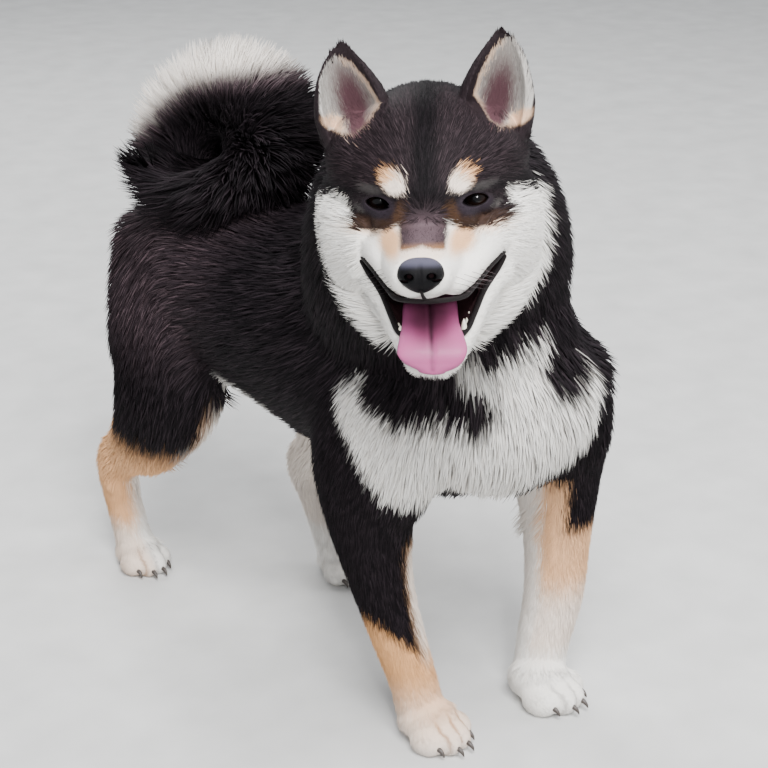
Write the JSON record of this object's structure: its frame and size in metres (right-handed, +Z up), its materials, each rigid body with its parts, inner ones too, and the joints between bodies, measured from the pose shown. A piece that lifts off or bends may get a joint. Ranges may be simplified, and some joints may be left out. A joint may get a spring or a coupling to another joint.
{
  "type": "shiba inu dog model",
  "caption": "Life-size black and tan shiba inu in mid step, head turned to its right, mouth open with the tongue out, tail curled over the back.",
  "frame": {"origin": "on the floor, under the middle of the animal's whole bounding box", "axes": "+Z up, the dog's trunk faces -Y, its left side is at +X"},
  "size_m": [0.3072, 0.5778, 0.5492],
  "materials": {
    "dark_coat": "dense black fur with a brown cast and pale and tan markings",
    "tan_coat": "short tan fur",
    "pale_coat": "short white and cream fur",
    "eye": "wet dark brown eye",
    "nose": "moist black pebbled leather",
    "tongue": "moist pink, finely bumpy",
    "teeth": "polished ivory",
    "lip": "moist black skin of the lips and lids",
    "claw": "dark horn"
  },
  "bodies": {
    "root": {"chest": "dark_coat", "ear_left": "dark_coat", "ear_right": "dark_coat", "eye_left": "eye", "eye_right": "eye", "foreleg_left": "tan_coat", "foreleg_right": "tan_coat", "forepaw_left": "pale_coat", "forepaw_right": "pale_coat", "head": "dark_coat", "hindpaw_left": "pale_coat", "hindpaw_right": "pale_coat", "jaw": "pale_coat", "loin": "dark_coat", "neck": "dark_coat", "nose": "nose", "shank_left": "tan_coat", "shank_right": "tan_coat", "tail": "dark_coat", "teeth_left": "teeth", "teeth_right": "teeth", "thigh_left": "dark_coat", "thigh_right": "dark_coat", "tongue": "tongue"}
  },
  "joints": []
}
